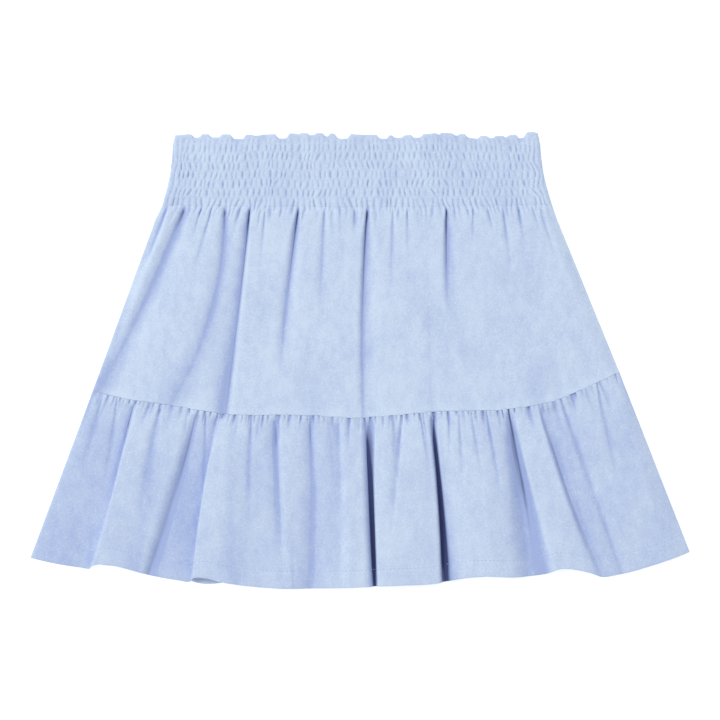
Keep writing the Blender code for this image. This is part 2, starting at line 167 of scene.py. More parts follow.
# A fold is a trough between two rolls of cloth. Its centre passes three points: at the top of its tier,
# halfway and at the bottom. It is as wide as left and right say at the bottom, where a narrow side is the
# steep flank of a roll that leans over it. Its depth goes from deep_top to deep_bottom, and it has faded
# out at stop, a share of the tier's height.
Fold = namedtuple("Fold", "top middle bottom left right deep_top deep_bottom stop")
TIER_FOLDS = (
    Fold(-163, -194, -224.5, 11, 9, 4, 0, 0.42),
    Fold(-148, -182.5, -223, 22, 32, 4.6, 3, 1),
    Fold(-125, -150, -176, 8, 10, 1.5, 0, 0.4),
    Fold(-115, -125, -161, 20, 30, 3.5, 0.7, 1),
    Fold(-93, -103, -114, 20, 6, 3.7, 2.2, 1),
    Fold(-80, -88, -93, 8, 9, 1.2, 0, 0.35),
    Fold(-52, -63, -71, 13, 14, 3.9, 0.6, 0.85),
    Fold(-30, -34, -37, 13, 15, 1.6, 0.4, 0.55),
    Fold(-17, -16, -14, 6, 6, 1.2, 0, 0.18),
    Fold(6, 2, 3, 7, 22, 3.6, 1.8, 1),
    Fold(28, 26, 25, 8, 11, 1.1, 0, 0.48),
    Fold(40, 41, 42, 8, 9, 0.7, 0, 0.35),
    Fold(57, 58, 61, 9, 9, 0, 0.4, 1),
    Fold(73, 74, 78, 7, 24, 3.6, 0.4, 0.55),
    Fold(96, 100, 118, 7, 8, 1.4, 0, 0.25),
    Fold(121, 131, 139, 13, 9, 1.5, 0, 0.4),
    Fold(134, 146, 157, 8, 8, 1, 0, 0.3),
    Fold(152, 176, 200, 10, 12, 1.3, 0, 0.42),
)
RUFFLE_FOLDS = (
    Fold(-218, -238, -259, 9, 11, 1.7, 0, 0.5),
    Fold(-206, -218, -238, 7, 8, 1.5, 0, 0.6),
    Fold(-169, -183, -197, 9, 12, 2, 0, 0.95),
    Fold(-131, -133, -138, 5, 5, 1.2, 0, 0.55),
    Fold(-92, -94, -94, 8, 8, 1.7, 0, 0.9),
    Fold(-27, -22, -19, 10, 8, 0.5, 0, 0.5),
    Fold(36, 29, 22, 15, 4, 2.4, 0, 0.8),
    Fold(51, 60, 65, 5, 5, 1.4, 0, 0.45),
    Fold(75, 78, 82, 5, 5, 1.3, 0, 0.4),
    Fold(84, 87, 90, 6, 6, 1.5, 0, 0.5),
    Fold(94, 105, 116, 6, 6, 1.3, 0, 0.5),
    Fold(107, 119, 129, 7, 5, 1.8, 0, 0.6),
    Fold(170, 196, 222, 8, 11, 1.6, 1.2, 1),
    Fold(201, 218, 238, 7, 12, 1.9, 0, 0.6),
)

# The ruffle's rolls run the whole way from the seam to the hem. Each row is a crest or a trough line: where
# it passes at the seam, halfway and at the hem, how far the cloth stands clear of the back there, how far a
# crest leans over its neighbour, to its left if negative, and how far a trough's floor reaches either way at
# the seam, halfway and at the hem.
CREST = "crest"
TROUGH = "trough"
Line = namedtuple(
    "Line",
    "kind top middle bottom rise_top rise_middle rise_bottom lean floor_top floor_middle floor_bottom",
    defaults=(0, 0, 0, 0),
)
RUFFLE_LINES = (
    Line(CREST, -211, -230, -253, 1.5, 1.3, 1.2),
    Line(TROUGH, -192, -208, -230, 0.2, 1.2, 1.9),
    Line(CREST, -187, -201, -219, 2.6, 6.2, 7.2, -5),
    Line(CREST, -145, -170, -190, 2.4, 5.4, 5, 3),
    Line(TROUGH, -138, -157, -180, 0, 0, 0.4),
    Line(CREST, -129, -144, -160, 1.7, 2, 2.4),
    Line(TROUGH, -121, -134, -144, 0.2, 1.6, 2.2),
    Line(CREST, -114, -128, -135, 2.6, 7.4, 8.2, -4),
    Line(CREST, -83, -83, -87, 2.3, 5.6, 6.2),
    Line(TROUGH, -72, -68.5, -66, 0, 3.8, 6.8),
    Line(CREST, -67, -63, -58, 2.6, 6.4, 6.5),
    Line(CREST, -52, -54, -56, 2.4, 5.8, 5.6),
    Line(TROUGH, -43, -40, -42, 0.2, 3.2, 3.6, 0, 0, 1.5, 3.5),
    Line(CREST, -37, -29, -25, 2.3, 4.9, 6.6),
    Line(TROUGH, -18, -17, -16, 0.7, 4.6, 6.8),
    Line(CREST, -13, -10, -7, 2.6, 7.4, 8.3),
    Line(CREST, 0, 1, 6, 2.4, 6.8, 7.4, 0.5),
    Line(TROUGH, 7.5, 10.4, 13.4, 0, 0, 0, 0, 3.6, 1.5, 0.6),
    Line(CREST, 13.5, 15, 18, 2.4, 7.6, 8.2, -1.5),
    Line(CREST, 20, 24, 28, 2.6, 8.4, 9.2),
    Line(CREST, 42, 39, 37, 2.6, 8, 8.6),
    Line(CREST, 55.5, 63, 66, 2.3, 6.4, 6.8, 1),
    Line(TROUGH, 60.5, 68, 71, 0, 0, 0, 0, 0.4, 1.6, 0.7),
    Line(CREST, 65.5, 73, 84, 2.4, 6.6, 6.2, -1),
    Line(CREST, 76, 82, 91, 2.5, 7.4, 7.9),
    Line(CREST, 102, 104, 109, 2.4, 7.2, 8.4),
    Line(CREST, 116, 119, 125, 2.2, 6, 7.2),
    Line(TROUGH, 124, 135, 142, 0, 0.4, 1.8),
    Line(TROUGH, 127, 144, 160, 0.2, 0.9, 1.6),
    Line(CREST, 132, 150.5, 171, 2.6, 7, 7, -3),
    Line(CREST, 149, 167, 190, 2.5, 6.6, 6, 3),
    Line(TROUGH, 153, 175, 206, 0.2, 2.2, 3.8),
    Line(CREST, 196, 214, 231, 2.2, 4.6, 5),
    Line(CREST, 214, 238, 258, 2.2, 4.2, 4.4),
)

# Painted shade: in the broadest folds, under the steepest rolls and beside the deep creases. The rows are
# like a fold's, with how much shade is painted instead of how deep.
TIER_PAINTED_SHADES = (
    Fold(-148, -187, -224, 8, 24, 0.1, 0.5, 1),
    Fold(-115, -125, -163, 26, 28, 0.1, 0.5, 1),
    Fold(-96, -106, -119, 26, 5, 0.1, 0.4, 1),
    Fold(66, 76, 106, 7, 20, 0, 0.35, 0.95),
)
RUFFLE_PAINTED_SHADES = (
    Fold(-191, -210, -228, 5, 2, 1.3, 0, 0.62),
    Fold(-138, -157, -180, 9, 4, 0.6, 0, 0.6),
    Fold(-43, -40, -40, 5, 2, 0.8, 0, 0.5),
    Fold(-212, -236, -250, 22, 26, 0, 0.24, 1),
    Fold(-160, -176, -189, 18, 6, 0, 0.3, 1),
    Fold(-108, -110, -107, 16, 18, 0.2, 0.35, 1),
    Fold(4, 8, 12, 2.5, 6, 1.3, 0, 0.45),
    Fold(5, 8.5, 12, 10, 2, 0.1, 0.6, 1),
    Fold(63, 63.5, 71, 2, 3.5, 1.3, 0, 0.42),
    Fold(66, 70, 74, 2, 15, 0, 1, 1),
    Fold(126, 139, 155, 19, 8, 1.5, 0, 0.75),
    Fold(133, 143, 157, 9, 5, 0, 0.5, 1),
    Fold(151, 173, 203, 4, 5, 0.9, 0.2, 1),
)

# Edges: how far in their rounding reaches, and how far the outside falls there
EDGE_STEPS = (0.0, 0.12, 0.4, 0.8, 1.5)
EDGE_REACH = EDGE_STEPS[-1]
SIDE_FALL = 1.38
SEAM_FALL = 0.22
SEAM_REACH = 1.3
DITCH_FALL = 0.12
DITCH_REACH = 1.2
WAIST_SIDE_FALL = 2.0
WAIST_SIDE_REACH = 3.0
FRILL_FALL = 0.9
FRILL_REACH = 1.6
INSIDE_FALL = 1.0
BACK_FALL = 0.62
SCENE_GAP = 0.04

# The tier seam: how it wavers over the gathers and how far that reaches, how far the allowance under the tier
# lifts the cloth and where that fades, and where the ruffle's rolls and their leans are full
SEAM_WAVES = (Noise(0.5, 7, 51), Noise(0.45, 2.8, 52))
SEAM_WAVE_REACH = 8
ALLOWANCE_LIFT = 0.5
ALLOWANCE_FADE = (3, 9)
ROLLS_START = (0.5, 8)
LEAN_FULL = 0.35

# Billows and dents all over the cloth: their height, their width, and their width as a share of their length;
# where they begin and are full; and their seeds
CREASES = ((0.42, 34, 0.5), (0.22, 13, 0.6), (0.07, 5, 0.8))
CREASES_START = (4, 40)
TIER_CREASE_SEED = 31
RUFFLE_CREASE_SEED = 41

# The hem: its turned depth, where its step lies, how far the turn lifts the outside, and its topstitch
HEM_DEPTH = 15
HEM_STEP = (0.8, 1.2)
HEM_LIFT = 0.45
HEM_FALL = HEM_CLOTH / 2 - 0.1
STITCH_GROOVE = 0.4
GROOVE_HALF_WIDTH = 0.8
STITCH_START = 2.0
STITCH_LENGTH = 2.3
STITCH_GAP = 1.1
STITCH_LIFT = 0.22
STITCH_SINK = 0.12
STITCH_RINGS = (0.0, 0.18, 0.5, 0.82, 1.0)
THREAD_RADIUS = 0.24
THREAD_SIDES = 5

# Mesh pitches, the widths that the back's columns are counted over, and the steps of the hidden side's grid
TIER_PITCH = 1.3
GATHER_PITCH = 0.75
GATHER_ZONE = 24
WAIST_PITCH = 0.52
WAIST_ROW_PITCH = 0.75
BACK_PITCH = 2.2
BACK_WAIST_PITCH = 1.0
BACK_TIER_WIDTH = 400
BACK_RUFFLE_WIDTH = 500
INSIDE_ROWS = 4
INSIDE_COLUMNS = 1

# The back's creases, sunk up into its underside: their share of the front's, their level and the deepest
BACK_SHARE = 0.45
BACK_LEVEL = 0.1
BACK_DEEPEST = 0.85
BACK_WAIST_DEEPEST = 0.9
BACK_WAVES = Noise(0.35, 26, 16)
BACK_NOISE_SHIFT = 300

# Cloth and thread colours before lighting: the nap's painted lit and shaded tones, a painted deep shadow, the
# thread
CLOTH_LIGHT = (0.62, 0.728, 0.888)
CLOTH_SHADE = (0.375, 0.462, 0.74)
PAINTED_DEEP_SHADOW = (0.05, 0.065, 0.17)
THREAD_BLUE = (0.50, 0.60, 0.84)

# The nap's tone between its painted shaded and lit colours: its level, what each size of mottling adds, where
# pale flecks are full and what they add, what painted shade in hollows takes away, and where that painted
# shade turns to the painted deep shadow
TONE_LEVEL = -0.315
BROAD_TONE = 0.6
PATCH_TONE = 0.7
GRAIN_TONE = 0.75
FLECKS = (0.64, 0.74)
FLECK_TONE = 0.3
PAINTED_SHADE_TONE = -0.9
PAINTED_DEEP_SHADE = (1.1, 2.3)

# How hollows are found for their painted shade: over how many columns, how far down counts as one, and the
# least that counts, a little under 0 as painted light where the cloth is proud
TIER_HOLLOWS = ((101, 7.0, -0.03), (41, 3.6, -0.03), (11, 1.6, -0.06))
WAIST_HOLLOWS = ((41, 4.0, -0.08), (11, 4.5, -0.06))

# The painted light on the tier: all over, along its sides and above its seam, and how far in the two fade
TIER_LIGHT = 0.05
TIER_SIDE_LIGHT = 0.1
TIER_SIDE_FADE = (0, 10)
TIER_SEAM_LIGHT = 0.12
TIER_SEAM_FADE = (2, 7)

# The ruffle's painted shade: which of a row's heights is its rolls' height, how high rolls must be to paint
# shade on the low cloth beside them, how much shade is painted on low and on the lowest cloth, and how wide
# and deep a slot is and how much of its painted shade is left at the hem
ROLL_PERCENTILE = 88
ROLL_HEIGHTS = (0.5, 5.0)
LOW_SHADE = 0.36
LOWEST_SHADE = 0.45
SLOT_COLUMNS = 10
SLOT_DEPTH = 2.6
SLOT_HEM_SHARE = 0.7

# The painted light on the ruffle, all over and along its sides
RUFFLE_LIGHT = 0.04
RUFFLE_SIDE_LIGHT = 0.12

# How deep a fold sinks below its floor before it is shut, and how much shade is painted where it shuts
CLOSED_DEPTH = 2.0
CLOSED_PAINTED_SHADE = 0.45

# The studio, in metres and watts, and the camera's sensor in millimetres
SKY_COLOUR = (0.97, 0.985, 1.0, 1)
SKY_STRENGTH = 0.72
KEY_PLACE = (-5.0, 2.5, 6.5)
KEY_SIZE = 2.4
KEY_POWER = 280
FLOOR_HALF = 4.0
FLOOR_DROP = 0.0002
FLOOR_GLOW = 0.45
CAMERA_HEIGHT = 2.4
FRAME_WIDTH = 0.612
SENSOR_WIDTH = 36


def ramp(value, low, high):
    """0 below low, 1 above high, and a soft rise between."""
    t = np.clip((value - low) / (high - low), 0.0, 1.0)
    return t * t * (3 - 2 * t)


def fade(value, low, high, start, end):
    """The start below low, the end above high, and a soft change between."""
    return start + (end - start) * ramp(value, low, high)


def through(table, at):
    """The heights at places on a smooth curve through a table of x, y."""
    xs, ys = np.array(table, float).T
    slopes = np.gradient(ys, xs, edge_order=2)
    k = np.clip(np.searchsorted(xs, at) - 1, 0, len(xs) - 2)
    step = xs[k + 1] - xs[k]
    t = (at - xs[k]) / step
    near = (1 + 2 * t) * (1 - t) ** 2 * ys[k] + t * (1 - t) ** 2 * step * slopes[k]
    far = t * t * (3 - 2 * t) * ys[k + 1] - t * t * (1 - t) * step * slopes[k + 1]
    return near + far


def through_three(top, middle, bottom, down):
    """The value that far down, on the curve through three values."""
    ends = top * (1 - down) * (1 - 2 * down) + bottom * down * (2 * down - 1)
    return ends + 4 * middle * down * (1 - down)


def centre(fold, down):
    """x of the centre of a fold or line, that far down its tier."""
    return through_three(fold.top, fold.middle, fold.bottom, down)


def wander(x, y, size, seed):
    """Smooth noise between -1 and 1, with bumps about that size across."""
    knots = np.random.default_rng(seed).uniform(-1, 1, (NOISE_KNOTS, NOISE_KNOTS))
    u, v = x / size + NOISE_SHIFT[0], y / size + NOISE_SHIFT[1]
    i, j = np.floor(u).astype(int), np.floor(v).astype(int)
    a, b = ramp(u - i, 0, 1), ramp(v - j, 0, 1)
    i, j, i_next, j_next = i % NOISE_KNOTS, j % NOISE_KNOTS, (i + 1) % NOISE_KNOTS, (j + 1) % NOISE_KNOTS
    near = knots[i, j] * (1 - a) + knots[i_next, j] * a
    far = knots[i, j_next] * (1 - a) + knots[i_next, j_next] * a
    return near * (1 - b) + far * b


def waver(noise, x, y):
    """One of the named noises at places on the cloth."""
    return noise.height * wander(x, y, noise.size, noise.seed)


def on_line(line, share):
    """x and y at a share of a cross line, from its left end to its right end."""
    x = line[0][0] + share * (line[-1][0] - line[0][0])
    return x, through(line, x)


def loft(upper, lower, down, share):
    """x and y at a share across the loft, that far down from one cross line to the next."""
    (x_up, y_up), (x_low, y_low) = on_line(upper, share), on_line(lower, share)
    return (1 - down) * x_up + down * x_low, (1 - down) * y_up + down * y_low


def tier_loft(down, share):
    """x and y of the tier, which flares at once below the smocking."""
    x_short, y_short = loft(LAST_ROW_LINE, FLARE_LINE, down / FLARE_SHARE, share)
    x_long, y_long = loft(FLARE_LINE, TIER_SEAM_LINE, (down - FLARE_SHARE) / (1 - FLARE_SHARE), share)
    flared = down >= FLARE_SHARE
    return np.where(flared, x_long, x_short), np.where(flared, y_long, y_short)


def ruffle_loft(down, share):
    """x and y of the front ruffle."""
    return loft(TIER_SEAM_LINE, FRONT_HEM_LINE, down, share)


def back_ruffle_loft(down, share):
    """x and y of the back ruffle."""
    return loft(TIER_SEAM_LINE, BACK_HEM_LINE, down, share)


def spread(length, pitch, zone=0.0, zone_pitch=1.0):
    """Places along a length: close together near both ends and through a zone, and else a pitch apart."""
    near = np.array(EDGE_STEPS[:-1])
    first, last = EDGE_STEPS[-1], length - EDGE_STEPS[-1]
    gathered = np.arange(first, zone, zone_pitch)
    start = gathered[-1] + zone_pitch if len(gathered) else first
    rest = np.linspace(start, last, round((last - start) / pitch) + 1)
    return np.concatenate([near, gathered, rest, length - near[::-1]])


def column_plan(stops, pitch):
    """For each mesh column: which stop it follows and its share of the way to the next one.

    Every second column is an extra one, for the gathers.
    """
    segments, shares = [], []
    edge = np.array(EDGE_STEPS) / EDGE_STEPS[-1]
    for k in range(len(stops) - 1):
        cells = max(1, round((stops[k + 1] - stops[k]) / pitch))
        places = np.arange(cells) / cells
        if k == 0:
            places = edge[:-1]
        elif k == len(stops) - 2:
            places = 1 - edge[:0:-1]
        ends = np.append(places, 1.0)
        halved = np.stack([places, (places + ends[1:]) / 2], axis=1).ravel()
        segments += [k] * len(halved)
        shares += list(halved)
    return np.array(segments + [len(stops) - 2]), np.array(shares + [1.0])


def stops_at(where, lines, down):
    """x of the places that columns follow, that far down: the sides, just inside them, and each line."""
    left, right = where(down, 0.0)[0], where(down, 1.0)[0]
    inside = [centre(line, down) for line in lines]
    return [left, left + EDGE_STEPS[-1]] + inside + [right - EDGE_STEPS[-1], right]


def followed_grid(where, lines, height, pitch):
    """x, y, share across and share down of a tier's mesh, whose columns follow its lines."""
    segments, shares = column_plan(stops_at(where, lines, 0.5), pitch)
    down = spread(height, pitch, GATHER_ZONE, GATHER_PITCH)[:, None] / height
    stops = np.array([stops_at(where, lines, at) for at in down[:, 0]])
    x = stops[:, segments] * (1 - shares) + stops[:, segments + 1] * shares
    across = (x - stops[:, :1]) / (stops[:, -1:] - stops[:, :1])
    _, y = where(down, across)
    return x, y, across, down


def gather_dips(gathers):
    """Where the dips between gathers lie along a seam, as shares, spaced unevenly."""
    chance = np.random.default_rng(gathers.seed)
    steps = chance.uniform(*GATHER_SPACING, gathers.count)
    return np.concatenate([[0.0], np.cumsum(steps) / steps.sum()])


def gather_rise(across, below, gathers):
    """How far gathers lift or sink the cloth: puffs with slits between them, which fade below the seam."""
    dips = gather_dips(gathers)
    chance = np.random.default_rng(gathers.seed + 100)
    depths = gathers.depth * chance.uniform(*SLIT_DEPTHS, gathers.count + 1)
    reaches = gathers.reach * chance.uniform(*SLIT_REACHES, gathers.count + 1)
    skews = chance.uniform(*SLIT_SKEWS, gathers.count)
    drifting = across + SLIT_DRIFT * wander(across * 500, below, 11, gathers.seed) * ramp(below, 0, 9)
    k = np.clip(np.searchsorted(dips, drifting) - 1, 0, gathers.count - 1)
    t = np.clip((drifting - dips[k]) / (dips[k + 1] - dips[k]), 0.0, 1.0) ** skews[k]
    dip = np.where(t < 0.5, k, k + 1)
    sharp_right = chance.random(gathers.count + 1) < SHARP_RIGHT
    flank = np.where((t < 0.5) == sharp_right[dip], SHARP_FLANK, SOFT_FLANK)
    narrow = flank * fade(below, 0, 0.7 * gathers.reach, *SLIT_SHARPNESS)
    slit = depths[dip] * np.abs(2 * t - 1) ** narrow * (1 - ramp(below, 0, reaches[dip]))
    return gathers.crown * (1 - ramp(below, 0, gathers.reach)) - slit


def fold_depth(fold, x, down):
    """How far a fold sinks the cloth at x, that far down its tier. It is pinched where it starts."""
    depth = fold.deep_top + (fold.deep_bottom - fold.deep_top) * down
    if fold.stop < 1:
        depth = depth * (1 - ramp(down, fold.stop - 0.3, fold.stop))
    away = x - centre(fold, down)
    width = np.where(away < 0, fold.left, fold.right)
    width = width * (0.3 + 0.7 * down ** 0.7) * fade(down, 0.0, 0.16, 0.5, 1)
    return depth * np.maximum(0.0, 1 - np.abs(away) / width) ** 1.8


def tier_rise(x, down, left, right):
    """How far the tier stands clear of the back between its flat sides."""
    clear = through_three(TIER_RISE_TOP, TIER_RISE_MIDDLE, TIER_RISE_BOTTOM, down)
    return clear * ramp(x, left, left + TIER_SIDE) * ramp(-x, -right, -right + TIER_SIDE)


def seam_rise(x):
    """How far the cloth stands clear of the back along the tier seam."""
    clear = tier_rise(x, 1.0, TIER_SEAM_LINE[0][0], TIER_SEAM_LINE[-1][0])
    return ALLOWANCE_LIFT + clear - sum(fold_depth(fold, x, 1.0) for fold in TIER_FOLDS)


def along_lines(down, kind):
    """One of the ruffle lines' three-point values, that far down, with 0 for the sides."""
    names = [kind + "_top", kind + "_middle", kind + "_bottom"]
    inside = [through_three(*[getattr(line, name) for name in names], down) for line in RUFFLE_LINES]
    return np.array([0.0] + inside + [0.0])


def rolls(x, down, left, right):
    """How far the ruffle stands clear of the back along one row, and how far it leans sideways."""
    places = np.array([left] + [centre(line, down) for line in RUFFLE_LINES] + [right])
    rises = along_lines(down, "rise")
    floors = np.maximum(0.0, along_lines(down, "floor"))
    leans = np.array([0.0] + [line.lean * ramp(down, 0.0, LEAN_FULL) for line in RUFFLE_LINES] + [0.0])
    high = np.array([False] + [line.kind == CREST for line in RUFFLE_LINES] + [False])
    k = np.clip(np.searchsorted(places, x) - 1, 0, len(places) - 2)
    start, end = places[k] + floors[k], places[k + 1] - floors[k + 1]
    share = np.clip((x - start) / (end - start), 0.0, 1.0)
    climbing = np.sin(share * math.pi / 2)
    falling = 1 - np.cos(share * math.pi / 2)
    level = ramp(share, 0, 1)
    eased = np.where(high[k] == high[k + 1], level, np.where(high[k], falling, climbing))
    return rises[k] + eased * (rises[k + 1] - rises[k]), leans[k] + eased * (leans[k + 1] - leans[k])


def soft_floor(rise):
    """The rise, never below the cloth that it lies on."""
    return 0.5 * (rise + np.hypot(rise, 0.4))


def closed(rise):
    """How far a fold shuts on itself, where its cloth would sink below what it lies on."""
    return np.clip(-rise / CLOSED_DEPTH, 0.0, 1.0)


def rounding(distance, fall, reach=EDGE_REACH):
    """How far a rounded edge falls, that far in from it."""
    near = 1 - np.clip(distance / reach, 0.0, 1.0)
    return fall * (1 - np.sqrt(1 - near * near))


def creases(x, y, below, seed):
    """Soft billows and small dents, from a little below the seam on."""
    found = sum(
        height * wander(x, y * narrow, size, seed + k) for k, (height, size, narrow) in enumerate(CREASES)
    )
    return found * ramp(below, *CREASES_START)


def seam_wave(x, distance):
    """How far the tier seam wavers as it passes over the gathers, fading with the distance from it."""
    return sum(waver(wave, x, 0 * x) for wave in SEAM_WAVES) * ramp(-distance, -SEAM_WAVE_REACH, 0)


def smock_phase(x, y, across, band, v, stagger=1.0):
    """Which smocking column a place is in, that far down a band: bands are staggered and a little uneven."""
    slant = waver(WELL_SLANT, x, band * 40.0) * (v - 0.5)
    jitter = waver(WELL_DRIFT, x, y) + waver(BAND_DRIFT, x, band * 31.0) * stagger
    return across * SMOCK_COLUMNS + 0.5 * (band % 2) * stagger + jitter + slant * stagger


def slits(column, half_width):
    """1 at the middle of the slit between two puffs, falling away over their round shoulders."""
    off = np.abs(column - np.round(column))
    narrow = np.maximum(0.0, 1 - off * SMOCK_WIDTH / SMOCK_COLUMNS / half_width)
    return 0.55 * narrow ** 1.2 + 0.45 * (1 - 2 * off) ** 2


def smocking(x, y, across, below):
    """Height of the smocked cloth over its low side, that far below the first elastic row."""
    margin = ROW_WANDER_MARGIN
    inner = ramp(below, 0, margin) * ramp(-below, -SMOCK_HEIGHT, margin - SMOCK_HEIGHT)
    at = (below + waver(ROW_WANDER, x, y * 0.2) * inner) * SMOCK_BANDS / SMOCK_HEIGHT
    band = np.clip(np.floor(at), 0, SMOCK_BANDS - 1)
    v = np.clip(at - band, 0.0, 1.0)
    stagger = ramp(np.minimum(across, 1 - across) * SMOCK_WIDTH, *STAGGER_START)
    column = smock_phase(x, y, across, band, v, stagger)
    strength = WELL_STRENGTH + waver(WELL_CHANGE, np.round(column) * 7.3, band * 11.9 * stagger)
    into_tier = (band == SMOCK_BANDS - 1) & (v > 0.5)
    upright = np.where(into_tier, 1.0, np.maximum(np.sin(np.pi * v), 0.0) ** 0.75)
    upright = 1 - (1 - upright) * (0.3 + 0.7 * stagger)
    wells = WELL_DEPTH * np.clip(strength, *WELL_STRENGTHS) * slits(column, WELL_HALF_WIDTH) * upright
    puffed = SMOCK_TOP - wells - ROW_PINCH * (1 - upright)
    return puffed + waver(SMOCK_BILLOWS, x, y) + waver(SMOCK_BUMPS, x, y)


def frill_sink(x, dips):
    """How far the frill's edge sinks at x: flat dips with round shoulders, between crowns that waver."""
    sink = FRILL_WAVER.height + waver(FRILL_WAVER, x, 0 * x)
    for place, half_width, depth in dips:
        off = np.abs(x - place)
        dip = 1 - ramp(off, half_width - FRILL_SHOULDER, half_width + FRILL_SHOULDER)
        sink = np.maximum(sink, depth * dip)
    return sink


def waist_grid(pitch, dips, drop=0.0):
    """x, y, share across and millimetres below the first elastic row, of the frill and the smocking."""
    across = spread(SMOCK_WIDTH, pitch)[None, :] / SMOCK_WIDTH
    height = FRILL_HEIGHT + SMOCK_HEIGHT
    below = spread(height, max(pitch, WAIST_ROW_PITCH))[:, None] - FRILL_HEIGHT
    x_frill, y_frill = loft(HEADING_LINE, FIRST_ROW_LINE, 1 + below / FRILL_HEIGHT, across)
    x_smock, y_smock = loft(FIRST_ROW_LINE, LAST_ROW_LINE, below / SMOCK_HEIGHT, across)
    waisted = np.sin(np.pi * np.clip(below / SMOCK_HEIGHT, 0.0, 1.0))
    x_smock = x_smock - SMOCK_HOLLOW_SIDES * waisted * (2 * across - 1) ** 3
    in_frill = below < 0
    x = np.where(in_frill, x_frill, x_smock)
    y = np.where(in_frill, y_frill, y_smock)
    return x, y - up_frill(below) * (drop + frill_sink(x, dips)), across, below


def up_frill(below):
    """How far up the frill a place is, from 0 at the first elastic row to 1 at the frill's edge."""
    return np.clip(-below / FRILL_HEIGHT, 0.0, 1.0)


def from_sides(x):
    """How far in from the nearer side each place of a grid lies."""
    return np.minimum(x - x[:, :1], x[:, -1:] - x)


def hem_turn(ends):
    """1 on the hem's turn and 0 above it, that far from the hem's edge."""
    return ramp(-ends, -HEM_DEPTH - HEM_STEP[0], -HEM_DEPTH + HEM_STEP[1])


# A front piece's outside: a grid of points, and for each how far it is from the piece's free end and sides
# and how far its fold has shut
Made = namedtuple("Made", "outside ends sides shut")


def waist_outside():
    """The front waistband's outside."""
    x, y, across, below = waist_grid(WAIST_PITCH, FRONT_FRILL_DIPS)
    up = up_frill(below)
    fine = smocking(x, y, across, np.maximum(below, 0.0))
    sunk = frill_sink(x, FRONT_FRILL_DIPS) / FRILL_DEEPEST
    pleats = slits(smock_phase(x, y, across, 0, 0.0), FRILL_PLEAT_HALF_WIDTH) * (1 - ramp(up, 0.1, 0.7))
    frill = FRILL_LEVEL + FRILL_RISE * (0.4 - sunk) * up - FRILL_PLEAT_DEPTH * pleats
    frill = frill + waver(FRILL_BUMPS, x, y)
    in_frill = ramp(up, 0.0, 0.25)
    lift = fine * (1 - in_frill) + frill * in_frill
    sides = from_sides(x)
    ends = below + FRILL_HEIGHT + 0 * x
    falls = np.maximum(
        rounding(sides, WAIST_SIDE_FALL, WAIST_SIDE_REACH), rounding(ends, FRILL_FALL, FRILL_REACH)
    )
    return Made(np.stack([x, y, WAIST_LOW + lift - falls], axis=2), ends, sides, 0 * x)


def tier_outside():
    """The front tier's outside."""
    x, y, across, down = followed_grid(tier_loft, TIER_FOLDS, TIER_HEIGHT, TIER_PITCH)
    below = down * TIER_HEIGHT
    rise = tier_rise(x, down, x[:, :1], x[:, -1:])
    rise = rise + gather_rise(across, below, WAIST_GATHERS)
    pleats = slits(smock_phase(x, y, across, SMOCK_BANDS - 1, 1.0), PLEAT_HALF_WIDTH + PLEAT_WIDENING * below)
    fading = PLEAT_REACH * (1 + waver(PLEAT_REACHES, x, 0 * y))
    uneven = np.clip(0.8 + waver(PLEAT_DEPTHS, x, 0 * y), 0.1, 1.5)
    rise = rise - PLEAT_DEPTH * uneven * pleats * (1 - ramp(below, 0.2 * fading, fading))
    rise = rise + creases(x, y, below, TIER_CREASE_SEED)
    for fold in TIER_FOLDS:
        rise = rise - fold_depth(fold, x, down)
    sides = from_sides(x)
    ends = TIER_HEIGHT - below + 0 * x
    z = FRONT_LOW + soft_floor(rise)
    band_edge = WAIST_LOW + SMOCK_TOP - 0.5 * WELL_DEPTH * pleats
    z = band_edge + (z - band_edge) * ramp(below, *BAND_FADE)
    z = z + ALLOWANCE_LIFT * (1 - ramp(ends, *ALLOWANCE_FADE))
    falls = np.maximum(rounding(sides, SIDE_FALL), rounding(ends, SEAM_FALL, SEAM_REACH))
    y = y - seam_wave(x, ends)
    return Made(np.stack([x, y, z - falls], axis=2), ends, sides, closed(rise))


def ruffle_outside():
    """The front ruffle's outside."""
    x, y, across, down = followed_grid(ruffle_loft, RUFFLE_LINES, RUFFLE_HEIGHT, TIER_PITCH)
    below = down * RUFFLE_HEIGHT
    rows = [rolls(x[k], down[k, 0], x[k, 0], x[k, -1]) for k in range(len(x))]
    rise, lean = np.array([row[0] for row in rows]), np.array([row[1] for row in rows])
    rise = seam_rise(x) + (rise - seam_rise(x)) * ramp(below, *ROLLS_START)
    rise = rise + gather_rise(across, below, RUFFLE_GATHERS) + gather_rise(across, below, RUFFLE_PLEATS)
    rise = rise + creases(x, y, below, RUFFLE_CREASE_SEED)
    for fold in RUFFLE_FOLDS:
        rise = rise - fold_depth(fold, x, down)
    sides = from_sides(x)
    ends = RUFFLE_HEIGHT - below + 0 * x
    z = FRONT_LOW + soft_floor(rise)
    z = z + HEM_LIFT * hem_turn(ends)
    z = z - STITCH_GROOVE * np.exp(-((ends - HEM_DEPTH) / GROOVE_HALF_WIDTH) ** 2)
    z = z - rounding(below, DITCH_FALL, DITCH_REACH)
    falls = np.maximum(rounding(sides, SIDE_FALL), rounding(ends, HEM_FALL))
    y = y - SCENE_GAP * (1 - down) - seam_wave(x, below)
    points = np.stack([x + lean, y, np.maximum(z - falls, FRONT_INSIDE + 2 * THINNEST)], axis=2)
    return Made(points, ends, sides, closed(rise))


def grid_normals(points):
    """Unit normals of a grid of points, on the side that faces up."""
    along = np.gradient(points, axis=1)
    back = np.gradient(points, axis=0)
    normals = np.cross(back, along)
    return normals / np.maximum(np.linalg.norm(normals, axis=2, keepdims=True), 1e-9)


def thinned(count, step):
    """Indices of a coarser row that keeps the closely spaced places at both ends."""
    near = len(EDGE_STEPS)
    middle = np.arange(near, count - near, step)
    return np.concatenate([np.arange(near), middle, np.arange(count - near, count)])


